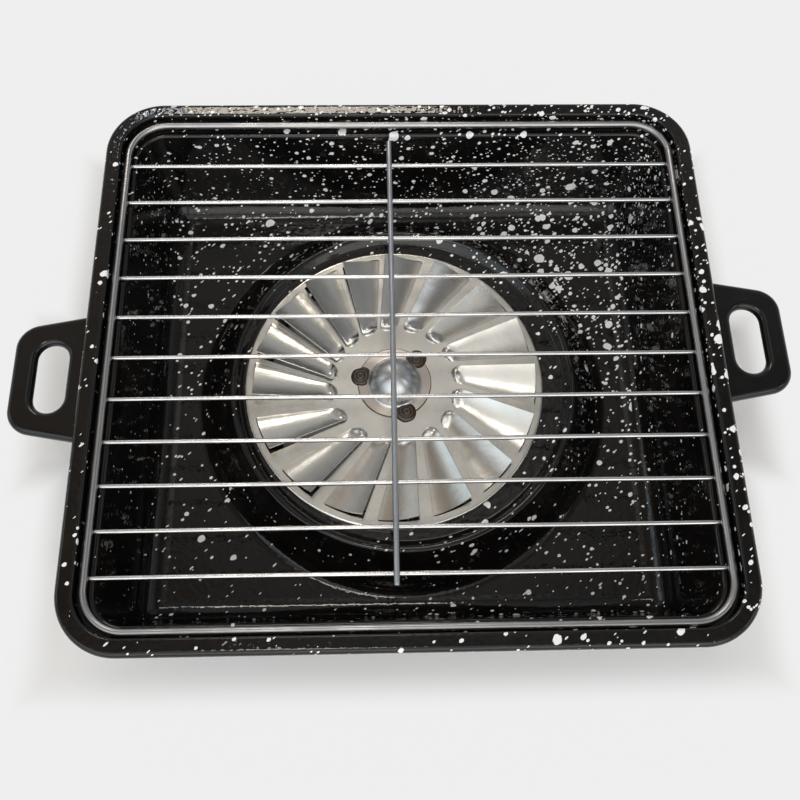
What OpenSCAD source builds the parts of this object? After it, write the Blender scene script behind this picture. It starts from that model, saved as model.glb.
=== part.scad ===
// Stovetop kebab grill: an enamelled square pan with a raised burner collar, two handles,
// a lift-off wire rack and a loose louvred steel diffuser with a domed hub.
// Millimetres, +Z up. The origin is the centre of the pan's underside, which stands on the stove.
// The front edge is at -Y and the handles are at -X and +X.

/* [Pan] */
// Width across the rolled rim, from handle side to handle side
pan_w = 320; // [300:1:360]
// Length across the rolled rim, from front to back
pan_l = 296; // [290:1:340]
// Height of the rim above the stove
pan_h = 70; // [60:1:85]
// Thickness of the enamelled sheet
pan_t = 1; // [0.8:0.1:1.4]
// Radius of the rim's corners seen from above
rim_corner_r = 30; // [28:1:40]
// Height of the rolled edge
roll_d = 5; // [4:0.5:6]
// Distance from the outer edge to the step inside the rim
rim_width = 8.3; // [7:0.1:10]
// Depth of the ledge that the rack rests on, below the rim
ledge_depth = 9.3; // [8:0.1:12]
// Distance from the outer edge to the top of the wall
wall_inset = 15; // [14:0.5:18]
// Distance from the outer edge to the foot of the wall
floor_inset = 24; // [20:0.5:27]
// Radius between the wall and the floor
floor_bend_r = 6.5; // [5:0.5:6.5]

/* [Burner collar] */
// Radius at the foot of the collar
collar_foot_r = 111; // [105:1:115]
// Radius of the collar's crest
collar_crest_r = 93.5; // [92:0.5:96]
// Height of the crest above the stove
collar_crest_h = 24; // [20:1:30]
// Outer radius of the shelf that carries the diffuser
seat_r = 88; // [86:0.5:90]
// Height of that shelf above the stove
seat_h = 19; // [15:0.5:22]
// Radius of the round opening over the burner
burner_r = 74; // [70:0.5:76]
// Height of the lip that is turned down round the opening
burner_lip = 6; // [4:0.5:8]

/* [Handles] */
// How far a handle stands out past the rim
handle_reach = 37.5; // [30:0.5:45]
// Width of a handle at its root, under the rim
handle_root_w = 73.5; // [60:0.5:80]
// Width of a handle at its outer corners
handle_tip_w = 55; // [50:0.5:70]
// Radius of a handle's outer corners
handle_corner_r = 13; // [6:0.5:14]
// Thickness of the handle plate
handle_t = 1.2; // [1:0.1:2]
// Height of the flange turned down round the handle and its slot
handle_lip = 4; // [2:0.5:6]
// Length of the finger slot, along Y
slot_l = 37; // [30:0.5:45]
// Width of the finger slot
slot_w = 16; // [13:0.5:18]
// Distance from the handle's outer edge to the finger slot
slot_edge = 11.5; // [10:0.5:14]
// Where the left handle's middle lies along Y
handle_left_y = -11; // [-20:0.5:20]
// Where the right handle's middle lies along Y
handle_right_y = 6; // [-20:0.5:20]

/* [Wire rack] */
// Diameter of the frame wire
frame_wire_d = 3.8; // [3.5:0.1:4.5]
// Diameter of the cross wires
cross_wire_d = 2.3; // [2:0.1:2.8]
// Diameter of the rod along the middle
centre_rod_d = 2.8; // [2.4:0.1:3.2]
// Play between the frame wire and the step, at the sides
rack_play_x = 1.2; // [0.8:0.1:2]
// Play between the frame wire and the step, at front and back
rack_play_y = 1; // [0.8:0.1:2]
// Corner radius of the frame wire, on its centreline
rack_corner_r = 20; // [19:0.5:24]
// Number of cross wires
cross_wires = 11; // [9:1:13]
// Distance between neighbouring cross wires
wire_pitch = 22.4; // [20:0.1:22.5]
// How far the middle wires stand nearer the front than an even spacing puts them
wire_drift = 2.2; // [0:0.1:2.5]
// Length of the rod along the middle
centre_rod_l = 244; // [238:1:250]
// Where the rod lies along X
centre_rod_x = -6.5; // [-8:0.5:8]
// Where the rod's middle lies along Y
centre_rod_y = 4; // [-5:0.5:5]

/* [Diffuser] */
// Radius of the disc
disc_r = 82; // [80:0.5:82]
// Thickness of the disc's sheet
disc_t = 0.6; // [0.5:0.1:0.8]
// Height of the edge that is turned down round the disc
disc_edge_h = 2.6; // [2:0.1:3.5]
// Direction in which the loose disc has slipped to the side of its seat
disc_slip_dir = 191; // [0:1:359]
// Number of louvres
louvres = 17; // [14:1:18]
// Direction of the first louvre's free edge
louvre_start = 5.5; // [0:0.5:20]
// How many neighbouring louvres stand close together, where the press ran short
close_louvres = 5; // [0:1:6]
// Angle between those louvres
close_pitch = 18.7; // [18:0.1:20]
// Number of ordinary gaps before them
louvres_before = 4; // [2:1:6]
// Radius where a louvre's inner end begins
louvre_in_r = 31.5; // [30:0.5:36]
// Radius where a louvre's outer end is cut open
louvre_out_r = 77; // [74:0.5:78]
// Distance of a louvre's free edge from the radius beside it
louvre_offset = 9.3; // [8:0.1:10]
// Rise of the free edge at the outer end
louvre_rise = 7.5; // [5:0.5:9]
// Rise of the free edge at the inner end
louvre_inner_rise = 3; // [2:0.5:4]
// Width of a louvre at its inner end
louvre_in_w = 8; // [7:0.5:9]
// Width of a louvre at its outer end
louvre_out_w = 21.5; // [16:0.5:23]

/* [Hub] */
// Radius of the dome in the middle
dome_r = 13.8; // [12:0.1:15]
// Rise of the dome above its flange
dome_rise = 12.5; // [10:0.5:13]
// Outer radius of the dome's flange
dome_flange_r = 20.2; // [18:0.1:22]
// Thickness of the dome's sheet
dome_t = 0.8; // [0.6:0.1:1.2]
// Number of tack welds that hold the flange
tack_welds = 3; // [3:1:6]
// Diameter of a tack weld
tack_d = 9.6; // [6:0.2:11]
// Rise of a tack weld above the disc
tack_rise = 1.6; // [1.2:0.1:2.5]

/* [Hidden] */
$fn = 96;
half_w = pan_w / 2;
half_l = pan_l / 2;
side_w = half_w - rim_corner_r;
side_l = half_l - rim_corner_r;
ledge_z = pan_h - ledge_depth;
tight_bend_r = 1; // inner radius of the sharp bends in the pan's sheet
roll_tuck = 4.5;  // how far the rolled edge turns in under the rim
seat_bend_r = 2;
crest_bend_r = 2.5;
foot_bend_r = 4;
foot_ring = 5; // flat ring round the collar's foot, which laps the floor
foot_lap = 0.5;

handle_z = ledge_z - pan_t;
handle_root_x = half_w - wall_inset + 2; // where the plate ends, just outside the wall
root_open = 4; // length at the root that has no lip
corner_steps = 8;
weld_spot_d = 5;
weld_spot_h = 0.4;
weld_spot_x = handle_root_x + 3.2;
spots_per_handle = 3;

lay_gap = 0.3;    // air left under a loose piece, so that it never binds
weld_bite = 0.15; // how far crossing wires sink into each other
rack_x = half_w - rim_width - rack_play_x - frame_wire_d / 2;
rack_y = half_l - rim_width - rack_play_y - frame_wire_d / 2;
cross_z = ledge_z + lay_gap + cross_wire_d / 2;
frame_z = cross_z + (cross_wire_d + frame_wire_d) / 2 - weld_bite;
rod_z = cross_z + (cross_wire_d + centre_rod_d) / 2 - weld_bite;
cross_half = rack_x + frame_wire_d / 4;

edge_bend_r = 1.4; // radius of the disc's turned edge
side_gap = 0.9;    // air beside the disc where it has slipped against its seat
edge_hold = 2.5;   // least width of shelf left under the disc's edge
disc_slip = min(seat_r - disc_r - side_gap, disc_r - burner_r - edge_hold);
disc_place = [disc_slip * cos(disc_slip_dir), disc_slip * sin(disc_slip_dir),
              seat_h + lay_gap + disc_edge_h];
wide_gaps = 2;     // gaps after the close louvres that are wider than the others
wide_extra = 2.4;  // by this angle
plain_pitch = (360 - close_louvres * close_pitch - wide_gaps * wide_extra) / (louvres - close_louvres);
root_bite = 0.5;   // how far a louvre's root reaches into the sheet beside it
root_skin = 0.1;   // how deep the root lies under the sheet's faces
louvre_slit = 0.6; // width of the cut outside a louvre's free edge and open end
louvre_curve = 1.7; // how sharply a louvre turns up towards its free edge
nose_share = 0.16; // share of a louvre's length in which its closed end rises

dome_fillet = 0.6;
tack_ring_r = 18.4;
tack_start = 48;

wire_names = [for (i = [1 : cross_wires]) str("cross_wire_", i < 10 ? "0" : "", i)];

// A vector at length 1, its left-hand normal, and a vector turned by an angle
function unit(v) = v / norm(v);
function left(v) = [-v.y, v.x];
function turned(v, a) = [v.x * cos(a) - v.y * sin(a), v.x * sin(a) + v.y * cos(a)];

// The signed angle from direction u to direction w
function turn_angle(u, w) = atan2(u.x * w.y - u.y * w.x, u * w);

// One bend of a sheet's face at p1, where r is the bend radius of the face and the result
// lies at a distance off to the left of it
function bend(p0, p1, p2, r, off, steps) =
    let (u = unit(p1 - p0), w = unit(p2 - p1), a = turn_angle(u, w), s = sign(a),
         c = p1 - u * r * tan(abs(a) / 2) + left(u) * s * r)
    r == 0
        ? [p1 + (left(u) + left(w)) * off / (1 + left(u) * left(w))]
        : [for (k = [0 : steps]) c - turned(left(u), a * k / steps) * s * (r - s * off)];

// A face of the sheet along a path with a radius for each bend
function face(path, radii, off, steps) =
    let (last = len(path) - 1)
    concat(
        [path[0] + left(unit(path[1] - path[0])) * off],
        [for (i = [1 : last - 1])
            each bend(path[i - 1], path[i], path[i + 1], radii[i - 1], off, steps)],
        [path[last] + left(unit(path[last] - path[last - 1])) * off]
    );

function reversed(list) = [for (i = [len(list) - 1 : -1 : 0]) list[i]];

// The section of a bent sheet: the path is one face, and its thickness lies to the right
function sheet(path, radii, t, steps = 4) =
    concat(face(path, radii, 0, steps), reversed(face(path, radii, -t, steps)));

// Section through floor, wall, ledge, rim and rolled edge, from a corner's centre outwards
function pan_section() =
    let (r = rim_corner_r)
    sheet(
        [
            [0, pan_t],
            [r - floor_inset, pan_t],
            [r - wall_inset, ledge_z],
            [r - rim_width, ledge_z],
            [r - rim_width, pan_h],
            [r, pan_h],
            [r, pan_h - roll_d],
            [r - roll_tuck, pan_h - roll_d]
        ],
        [floor_bend_r, tight_bend_r + pan_t, tight_bend_r, tight_bend_r + pan_t, roll_d / 2, roll_d / 2],
        pan_t
    );

// Section through the burner collar, from the floor up over the crest and down into the seat
function collar_section() =
    sheet(
        [
            [burner_r, seat_h - burner_lip],
            [burner_r, seat_h],
            [seat_r, seat_h],
            [collar_crest_r, collar_crest_h],
            [collar_foot_r, pan_t],
            [collar_foot_r + foot_ring, pan_t]
        ],
        [tight_bend_r + pan_t, seat_bend_r, crest_bend_r, foot_bend_r],
        pan_t
    );

module pan_side(length) {
    rotate([90, 0, 0])
        linear_extrude(height = length, center = true)
            polygon(pan_section());
}

module pan_corner() {
    rotate_extrude(angle = 90)
        polygon(pan_section());
}

module pan() {
    color("#141416") {
        for (s = [0, 180]) {
            rotate(s) translate([side_w, 0, 0]) pan_side(2 * side_l);
            rotate(s + 90) translate([side_l, 0, 0]) pan_side(2 * side_w);
        }
        for (sx = [-1, 1], sy = [-1, 1])
            translate([sx * side_w, sy * side_l, 0])
                rotate(sx > 0 ? (sy > 0 ? 0 : -90) : (sy > 0 ? 90 : 180))
                    pan_corner();
        difference() {
            translate([-side_w, -side_l, 0]) cube([2 * side_w, 2 * side_l, pan_t]);
            translate([0, 0, -1]) cylinder(r = collar_foot_r + foot_ring - foot_lap, h = pan_t + 2);
        }
        rotate_extrude() polygon(collar_section());
    }
}

// Plan of a handle drawn in by an inset, with its root cut off square
module handle_plan(inset) {
    tip = half_w + handle_reach - inset;
    root = handle_root_x;
    r = handle_corner_r - inset;
    root_half = handle_root_w / 2 - inset;
    tip_half = handle_tip_w / 2 - inset;
    path = [[root, -root_half], [tip, -tip_half], [tip, tip_half], [root, root_half]];
    corners = concat(
        bend(path[0], path[1], path[2], r, 0, corner_steps),
        bend(path[1], path[2], path[3], r, 0, corner_steps)
    );
    polygon(concat([path[0]], corners, [path[3]]));
}

// Plan of the finger slot, grown by a margin
module slot_plan(margin) {
    x = half_w + handle_reach - slot_edge - slot_w / 2;
    straight = slot_l - slot_w;
    translate([x, 0]) {
        square([slot_w + 2 * margin, straight], center = true);
        for (s = [-1, 1])
            translate([0, s * straight / 2]) circle(r = slot_w / 2 + margin);
    }
}

// A handle on the +X side: a plate with its edge and the slot's edge turned down
module handle() {
    color("#101012")
        difference() {
            union() {
                translate([0, 0, handle_z - handle_t])
                    linear_extrude(height = handle_t) handle_plan(0);
                translate([0, 0, handle_z - handle_lip])
                    linear_extrude(height = handle_lip)
                        difference() {
                            handle_plan(0);
                            handle_plan(handle_t);
                            translate([handle_root_x - 1, -handle_root_w])
                                square([root_open + 1, 2 * handle_root_w]);
                        }
                translate([0, 0, handle_z - handle_lip])
                    linear_extrude(height = handle_lip) slot_plan(handle_t);
            }
            translate([0, 0, handle_z - handle_lip - 1])
                linear_extrude(height = handle_lip + 2) slot_plan(0);
        }
}

module handle_right() {
    translate([0, handle_right_y, 0]) handle();
}

module handle_left() {
    translate([0, handle_left_y, 0]) rotate(180) handle();
}

// Low round spots where the plates are welded up to the underside of the ledge
module handle_spot_welds() {
    spacing = handle_root_w / spots_per_handle;
    z = handle_z - handle_t - weld_spot_h;
    color("#1c1c1e")
        for (side = [-1, 1], k = [0 : spots_per_handle - 1]) {
            middle = side > 0 ? handle_right_y : handle_left_y;
            translate([side * weld_spot_x, middle + (k - (spots_per_handle - 1) / 2) * spacing, z])
                cylinder(d = weld_spot_d, h = weld_spot_h);
        }
}

module frame_side(length) {
    rotate([90, 0, 0]) cylinder(d = frame_wire_d, h = length, center = true);
}

module rack_frame() {
    x = rack_x - rack_corner_r;
    y = rack_y - rack_corner_r;
    color("#c9cbcc")
        translate([0, 0, frame_z]) {
            for (s = [-1, 1]) {
                translate([s * rack_x, 0, 0]) frame_side(2 * y);
                translate([0, s * rack_y, 0]) rotate(90) frame_side(2 * x);
            }
            for (q = [0 : 3])
                translate([(q == 0 || q == 3 ? x : -x), (q < 2 ? y : -y), 0])
                    rotate(90 * q)
                        rotate_extrude(angle = 90)
                            translate([rack_corner_r, 0]) circle(d = frame_wire_d);
        }
}

// Where a cross wire lies, counted from the back of the rack to its front
function wire_y(i) =
    let (half = (cross_wires - 1) / 2, k = half - i)
    k * wire_pitch - wire_drift * (1 - pow(k / half, 2));

module cross_wire(i) {
    color("#c4c6c7")
        translate([-cross_half, wire_y(i), cross_z])
            rotate([0, 90, 0]) cylinder(d = cross_wire_d, h = 2 * cross_half);
}

module centre_rod() {
    color("#b9bbbc")
        translate([centre_rod_x, centre_rod_y + centre_rod_l / 2, rod_z])
            rotate([90, 0, 0]) cylinder(d = centre_rod_d, h = centre_rod_l);
}

// Direction of a louvre: a few stand closer, and the gaps after them are a little wider
function louvre_gap(i) =
    i < louvres_before ? plain_pitch
    : i < louvres_before + close_louvres ? close_pitch
    : i < louvres_before + close_louvres + wide_gaps ? plain_pitch + wide_extra
    : plain_pitch;
function louvre_angle(i) = i == 0 ? louvre_start : louvre_angle(i - 1) + louvre_gap(i - 1);

function mix(a, b, t) = a + (b - a) * t;
function smooth(t) = let (c = min(max(t, 0), 1)) c * c * (3 - 2 * c);

// The turn that puts a free edge's outer corner in the louvre's direction
louvre_turn = asin(louvre_offset / louvre_out_r);

// Plan of one louvre, at u across it from the fold to the free edge and v along it from the
// inner end to the outer end, whose rows bow with the disc
function louvre_plan(u, v) =
    let (edge_y = louvre_offset,
         fold_y = louvre_offset - mix(louvre_in_w, louvre_out_w, v),
         y = mix(fold_y, edge_y, u),
         r = mix(louvre_in_r, louvre_out_r, v))
    [sqrt(r * r - y * y), y];

// Height of the louvre's surface above the disc
function louvre_height(u, v) =
    pow(max(u, 0), louvre_curve) * mix(louvre_inner_rise, louvre_rise, v) * smooth(v / nose_share);

louvre_cols = [0 : 6];
louvre_rows = [0, 0.05, 0.1, nose_share, 0.3, 0.5, 0.75, 1];

// One louvre as a closed mesh: a grid of top points and the same grid a sheet lower. The first
// row and column are its root, which lies inside the sheet of the disc.
module louvre() {
    cols = len([for (c = louvre_cols) c]);
    rows = len(louvre_rows);
    us = [for (c = louvre_cols) c / (cols - 1)];
    function top(i, j) =
        let (root = i < 0 || j < 0,
             p = louvre_plan(us[max(i, 0)], louvre_rows[max(j, 0)]),
             out = [j < 0 ? -root_bite : 0, i < 0 ? -root_bite : 0])
        [p.x + out.x, p.y + out.y, root ? -root_skin : louvre_height(us[i], louvre_rows[j])];
    function low(i, j) =
        let (root = i < 0 || j < 0, p = top(i, j))
        [p.x, p.y, root ? root_skin - disc_t : p.z - disc_t];
    n = cols + 1;
    m = rows + 1;
    tops = [for (j = [-1 : rows - 1], i = [-1 : cols - 1]) top(i, j)];
    lows = [for (j = [-1 : rows - 1], i = [-1 : cols - 1]) low(i, j)];
    function at(i, j) = j * n + i;
    quads = [for (j = [0 : m - 2], i = [0 : n - 2])
        [at(i, j), at(i + 1, j), at(i + 1, j + 1), at(i, j + 1)]];
    rim = concat(
        [for (i = [0 : n - 2]) at(i, 0)],
        [for (j = [0 : m - 2]) at(n - 1, j)],
        [for (i = [n - 1 : -1 : 1]) at(i, m - 1)],
        [for (j = [m - 1 : -1 : 1]) at(0, j)]
    );
    k = n * m;
    polyhedron(
        points = concat(tops, lows),
        faces = concat(
            [for (q = quads) each [[q[0], q[1], q[2]], [q[0], q[2], q[3]]]],
            [for (q = quads) each [[k + q[0], k + q[2], k + q[1]], [k + q[0], k + q[3], k + q[2]]]],
            [for (e = [0 : len(rim) - 1])
                let (a = rim[e], b = rim[(e + 1) % len(rim)])
                each [[a, k + b, b], [a, k + a, k + b]]]
        )
    );
}

// The opening under a louvre, cut a little past its open end and free edge
module louvre_opening() {
    steps = 6;
    fold = [for (v = [0, 1]) louvre_plan(0, v)];
    outer = [for (k = [0 : steps]) louvre_plan(k / steps, 1) * (1 + louvre_slit / louvre_out_r)];
    inner = [for (k = [steps : -1 : 0]) louvre_plan(k / steps, 0)];
    edge_out = louvre_plan(1, 1) + [louvre_slit, louvre_slit];
    edge_in = louvre_plan(1, 0) + [0, louvre_slit];
    translate([0, 0, -disc_t - 1])
        linear_extrude(height = disc_t + 2)
            polygon(concat([fold[0]], outer, [edge_out, edge_in], [for (k = [0 : steps - 1]) inner[k]]));
}

module diffuser_disc() {
    edge = sheet(
        [[disc_r - 4 * edge_bend_r, 0], [disc_r, 0], [disc_r, -disc_edge_h]],
        [edge_bend_r],
        disc_t
    );
    color("#d5d7d8")
        translate(disc_place) {
            difference() {
                union() {
                    translate([0, 0, -disc_t]) cylinder(r = disc_r - 2 * edge_bend_r, h = disc_t);
                    rotate_extrude() polygon(edge);
                }
                for (i = [0 : louvres - 1])
                    rotate(louvre_angle(i) - louvre_turn) louvre_opening();
            }
            for (i = [0 : louvres - 1])
                rotate(louvre_angle(i) - louvre_turn) louvre();
        }
}

// The dome's outer face from its top to the edge of its flange: a cap of a sphere with a small
// fillet at its foot
function dome_face(off) =
    let (ball_r = (dome_r * dome_r + dome_rise * dome_rise) / (2 * dome_rise),
         ball_z = dome_t + dome_rise - ball_r,
         foot = asin((dome_t + dome_fillet - ball_z) / ball_r))
    [for (a = [90 : -(90 - foot) / 10 : foot - 0.01])
        [max((ball_r - off) * cos(a), 0), ball_z + (ball_r - off) * sin(a)]];

module dome_cap() {
    outer = dome_face(0);
    inner = dome_face(dome_t);
    color("#dcdee0")
        translate(disc_place)
            rotate_extrude()
                polygon(concat(
                    outer,
                    [[dome_r + 2 * dome_fillet, dome_t], [dome_flange_r, dome_t]],
                    [[dome_flange_r, 0], [dome_r, 0]],
                    reversed(inner)
                ));
}

// The space that the dome and its flange fill, for cutting the welds to fit round them
module dome_space() {
    rotate_extrude()
        polygon(concat(
            dome_face(0),
            [[dome_r + 2 * dome_fillet, dome_t], [dome_flange_r, dome_t], [dome_flange_r, -1], [0, -1]]
        ));
}

module hub_tack_welds() {
    ball_r = (tack_d * tack_d / 4 + tack_rise * tack_rise) / (2 * tack_rise);
    color("#5a4a40")
        translate(disc_place)
            for (k = [0 : tack_welds - 1])
                difference() {
                    intersection() {
                        rotate(tack_start + k * 360 / tack_welds)
                            translate([tack_ring_r, 0, tack_rise - ball_r]) sphere(r = ball_r);
                        cylinder(r = tack_ring_r + tack_d, h = tack_rise);
                    }
                    dome_space();
                }
}

pan();
handle_left();
handle_right();
handle_spot_welds();
rack_frame();
for (i = [0 : cross_wires - 1])
    cross_wire(i);
centre_rod();
diffuser_disc();
dome_cap();
hub_tack_welds();
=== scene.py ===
import math

import bmesh
import bpy
import numpy as np
from mathutils import Matrix, Vector
from mathutils.geometry import delaunay_2d_cdt


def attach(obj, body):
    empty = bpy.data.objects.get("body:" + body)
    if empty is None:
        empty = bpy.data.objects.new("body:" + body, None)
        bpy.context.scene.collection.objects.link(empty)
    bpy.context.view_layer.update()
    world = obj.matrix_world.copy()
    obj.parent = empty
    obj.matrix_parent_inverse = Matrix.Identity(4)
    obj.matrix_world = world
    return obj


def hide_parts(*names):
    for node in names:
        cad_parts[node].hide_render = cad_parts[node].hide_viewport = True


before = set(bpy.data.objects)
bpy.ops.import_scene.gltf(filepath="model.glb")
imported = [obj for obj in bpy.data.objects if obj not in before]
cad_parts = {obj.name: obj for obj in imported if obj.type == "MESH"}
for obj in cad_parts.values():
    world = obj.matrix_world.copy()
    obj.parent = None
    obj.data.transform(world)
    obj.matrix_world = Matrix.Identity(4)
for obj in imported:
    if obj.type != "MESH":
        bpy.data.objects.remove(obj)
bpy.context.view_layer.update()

# Sizes are in millimetres, as in the part's source, and become metres when a mesh is made.
MM = 0.001
SHARP_ANGLE = math.radians(35)

# Pan
PAN_HALF_W, PAN_HALF_L = 160.0, 148.0
PAN_H, PAN_T = 70.0, 1.0
RIM_CORNER_R = 30.0
ROLL_D, ROLL_TUCK = 5.0, 4.5
RIM_WIDTH, LEDGE_Z = 8.3, 60.7
WALL_INSET, FLOOR_INSET, FLOOR_BEND_R = 15.0, 24.0, 12.0
TIGHT_BEND_R, STEP_BEND_R = 1.0, 0.2
FLOOR_START = 0.3

# Burner collar
COLLAR_FOOT_R, FOOT_RING, FOOT_BEND_R = 111.0, 5.0, 9.0
CREST_R, CREST_H, CREST_BEND_R = 93.5, 24.0, 2.5
SEAT_R, SEAT_H, SEAT_BEND_R = 88.0, 19.0, 2.0
BURNER_R, BURNER_LIP = 74.0, 6.0

# Handles
HANDLE_TIP_X, HANDLE_ROOT_X = 197.5, 147.0
HANDLE_ROOT_W, HANDLE_TIP_W = 73.5, 55.0
HANDLE_CORNER_R, HANDLE_T, HANDLE_LIP = 13.0, 1.2, 4.0
HANDLE_BEND_R, ROOT_BEND_R, HANDLE_HOLD = 2.8, 1.6, 0.4
HANDLE_Z = 59.7
SLOT_L, SLOT_W, SLOT_EDGE = 37.0, 16.0, 11.5
HANDLE_Y = {"left": -11.0, "right": 6.0}
LIP_STARTS, LIP_FULL = 150.5, 154.0

# Wire rack
FRAME_WIRE_D, CROSS_WIRE_D, ROD_D = 3.8, 2.3, 2.8
RACK_X, RACK_Y, RACK_CORNER_R = 148.6, 136.8, 20.0
CROSS_WIRES, WIRE_PITCH, WIRE_DRIFT = 11, 22.4, 2.2
CROSS_Z, FRAME_Z, ROD_Z = 62.15, 65.05, 64.55
CROSS_HALF = RACK_X + FRAME_WIRE_D / 4
ROD_X, ROD_Y, ROD_L = -6.5, 4.0, 244.0

# Diffuser and hub
DISC_R, DISC_T, DISC_EDGE_H, EDGE_BEND_R = 82.0, 0.6, 2.6, 1.4
DISC_SLIP, DISC_SLIP_DIR, DISC_TOP = 5.1, math.radians(191), 21.9
LOUVRES, LOUVRE_START = 17, 5.5
CLOSE_LOUVRES, CLOSE_PITCH, LOUVRES_BEFORE = 5, 18.7, 4
WIDE_GAPS, WIDE_EXTRA = 2, 2.4
LOUVRE_IN_R, LOUVRE_OUT_R, LOUVRE_OFFSET = 31.5, 77.0, 9.3
LOUVRE_RISE, LOUVRE_INNER_RISE = 7.5, 3.0
LOUVRE_IN_W, LOUVRE_OUT_W = 8.0, 21.5
LOUVRE_CURVE, NOSE_SHARE, CLOSED_SHARE, LOUVRE_SLIT = 1.7, 0.06, 0.14, 0.6
DOME_R, DOME_RISE, DOME_T, FOOT_FILLET = 13.8, 12.5, 0.8, 1.8
DOME_FLANGE_R = 20.2
TACKS, TACK_D, TACK_RISE, TACK_RING_R, TACK_START = 3, 9.6, 1.6, 18.4, 48.0

DISC_PLACE = Vector((
    DISC_SLIP * math.cos(DISC_SLIP_DIR),
    DISC_SLIP * math.sin(DISC_SLIP_DIR),
    DISC_TOP,
))


def mix(a, b, t):
    return a + (b - a) * t


def smooth(t):
    t = min(max(t, 0), 1)
    return t * t * (3 - 2 * t)


def unit(v):
    return v / np.linalg.norm(v)


def left(v):
    return np.array([-v[1], v[0]])


def turned(v, angle):
    c, s = math.cos(angle), math.sin(angle)
    return np.array([v[0] * c - v[1] * s, v[0] * s + v[1] * c])


def bend(before, corner, after, radius, off, steps):
    """Points round one bend of a sheet's face, off to the left of its path."""
    u, w = unit(corner - before), unit(after - corner)
    angle = math.atan2(u[0] * w[1] - u[1] * w[0], u @ w)
    side = math.copysign(1, angle)
    centre = corner - u * radius * math.tan(abs(angle) / 2) + left(u) * side * radius
    reach = side * (radius - side * off)
    return [centre - turned(left(u), angle * k / steps) * reach for k in range(steps + 1)]


def face(path, radii, off, steps=8, hold=0.4):
    """A sheet's face along a path, with rows close to each bend that keep the flats flat."""
    path = [np.array(p, float) for p in path]
    arcs = [[path[0] + left(unit(path[1] - path[0])) * off]]
    for i, radius in enumerate(radii):
        arcs.append(bend(path[i], path[i + 1], path[i + 2], radius, off, steps))
    arcs.append([path[-1] + left(unit(path[-1] - path[-2])) * off])
    points = []
    for arc, following in zip(arcs, arcs[1:]):
        points += arc
        gap = following[0] - arc[-1]
        length = np.linalg.norm(gap)
        if length > 4 * hold:
            points += [arc[-1] + gap * hold / length, following[0] - gap * hold / length]
    return points + arcs[-1]


def sheet_section(path, radii, thickness):
    """A bent sheet's two faces: the path itself, and the one that lies to its right."""
    return face(path, radii, 0), face(path, radii, -thickness)


class Builder:
    """Collects points and faces in millimetres and makes one mesh object of them."""

    def __init__(self):
        self.points = []
        self.faces = []

    def ring(self, points):
        first = len(self.points)
        self.points += [tuple(p) for p in points]
        return list(range(first, len(self.points)))

    def bridge(self, a, b, closed=True):
        last = len(a) if closed else len(a) - 1
        for k in range(last):
            n = (k + 1) % len(a)
            self.faces.append((a[k], a[n], b[n], b[k]))

    def strip(self, rings, closed=True, loop=False):
        for a, b in zip(rings, rings[1:]):
            self.bridge(a, b, closed)
        if loop:
            self.bridge(rings[-1], rings[0], closed)

    def fan(self, ring, centre):
        hub = self.ring([centre])[0]
        for k, corner in enumerate(ring):
            self.faces.append((corner, ring[(k + 1) % len(ring)], hub))

    def zip_flat(self, outer, inner, middle=(0, 0)):
        """Fills the flat between two loops that go round the same point."""
        def by_angle(ring):
            def angle(i):
                p = self.points[i]
                return math.atan2(p[1] - middle[1], p[0] - middle[0]) % math.tau
            order = sorted(ring, key=angle)
            return order, [angle(i) for i in order]

        a, a_angles = by_angle(outer)
        b, b_angles = by_angle(inner)
        a, b = a + a[:1], b + b[:1]
        a_angles.append(math.tau + a_angles[0])
        b_angles.append(math.tau + b_angles[0])
        i = j = 0
        while i < len(a) - 1 or j < len(b) - 1:
            if j == len(b) - 1 or (i < len(a) - 1 and a_angles[i + 1] <= b_angles[j + 1]):
                self.faces.append((a[i], a[i + 1], b[j]))
                i += 1
            else:
                self.faces.append((a[i], b[j + 1], b[j]))
                j += 1

    def build(self, name, material, body, replaces=(), place=(0, 0, 0)):
        mesh = bpy.data.meshes.new(name)
        shift = np.array(place, float)
        mesh.from_pydata([tuple((np.array(p) + shift) * MM) for p in self.points], [], self.faces)
        work = bmesh.new()
        work.from_mesh(mesh)
        bmesh.ops.recalc_face_normals(work, faces=work.faces)
        work.to_mesh(mesh)
        work.free()
        mesh.shade_smooth()
        mesh.set_sharp_from_angle(angle=SHARP_ANGLE)
        mesh.materials.append(material)
        piece = bpy.data.objects.new(name, mesh)
        bpy.context.scene.collection.objects.link(piece)
        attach(piece, body)
        if replaces:
            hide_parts(*replaces)
        return piece


def circle_points(radius, z, count):
    angles = np.arange(count) * math.tau / count
    return [(radius * math.cos(a), radius * math.sin(a), z) for a in angles]


def perimeter(half_x, half_y, corner_steps, side_steps):
    """Base points and outward normals round a rectangle that turns at its corners."""
    corners = [(half_x, half_y), (-half_x, half_y), (-half_x, -half_y), (half_x, -half_y)]
    bases, normals = [], []
    for q, corner in enumerate(corners):
        start = np.array(corner, float)
        for k in range(corner_steps + 1):
            angle = math.radians(90 * (q + k / corner_steps))
            bases.append(start)
            normals.append((math.cos(angle), math.sin(angle)))
        end = np.array(corners[(q + 1) % 4], float)
        for k in range(1, side_steps):
            bases.append(start + (end - start) * k / side_steps)
            normals.append(normals[-1])
    return np.array(bases), np.array(normals)


# Pan

def pan_path():
    r = RIM_CORNER_R
    return [
        (FLOOR_START, PAN_T),
        (r - FLOOR_INSET, PAN_T),
        (r - WALL_INSET, LEDGE_Z),
        (r - RIM_WIDTH, LEDGE_Z),
        (r - RIM_WIDTH, PAN_H),
        (r, PAN_H),
        (r, PAN_H - ROLL_D),
        (r - ROLL_TUCK, PAN_H - ROLL_D),
    ], [FLOOR_BEND_R, TIGHT_BEND_R + PAN_T, TIGHT_BEND_R, STEP_BEND_R + PAN_T, ROLL_D / 2, ROLL_D / 2]


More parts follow.
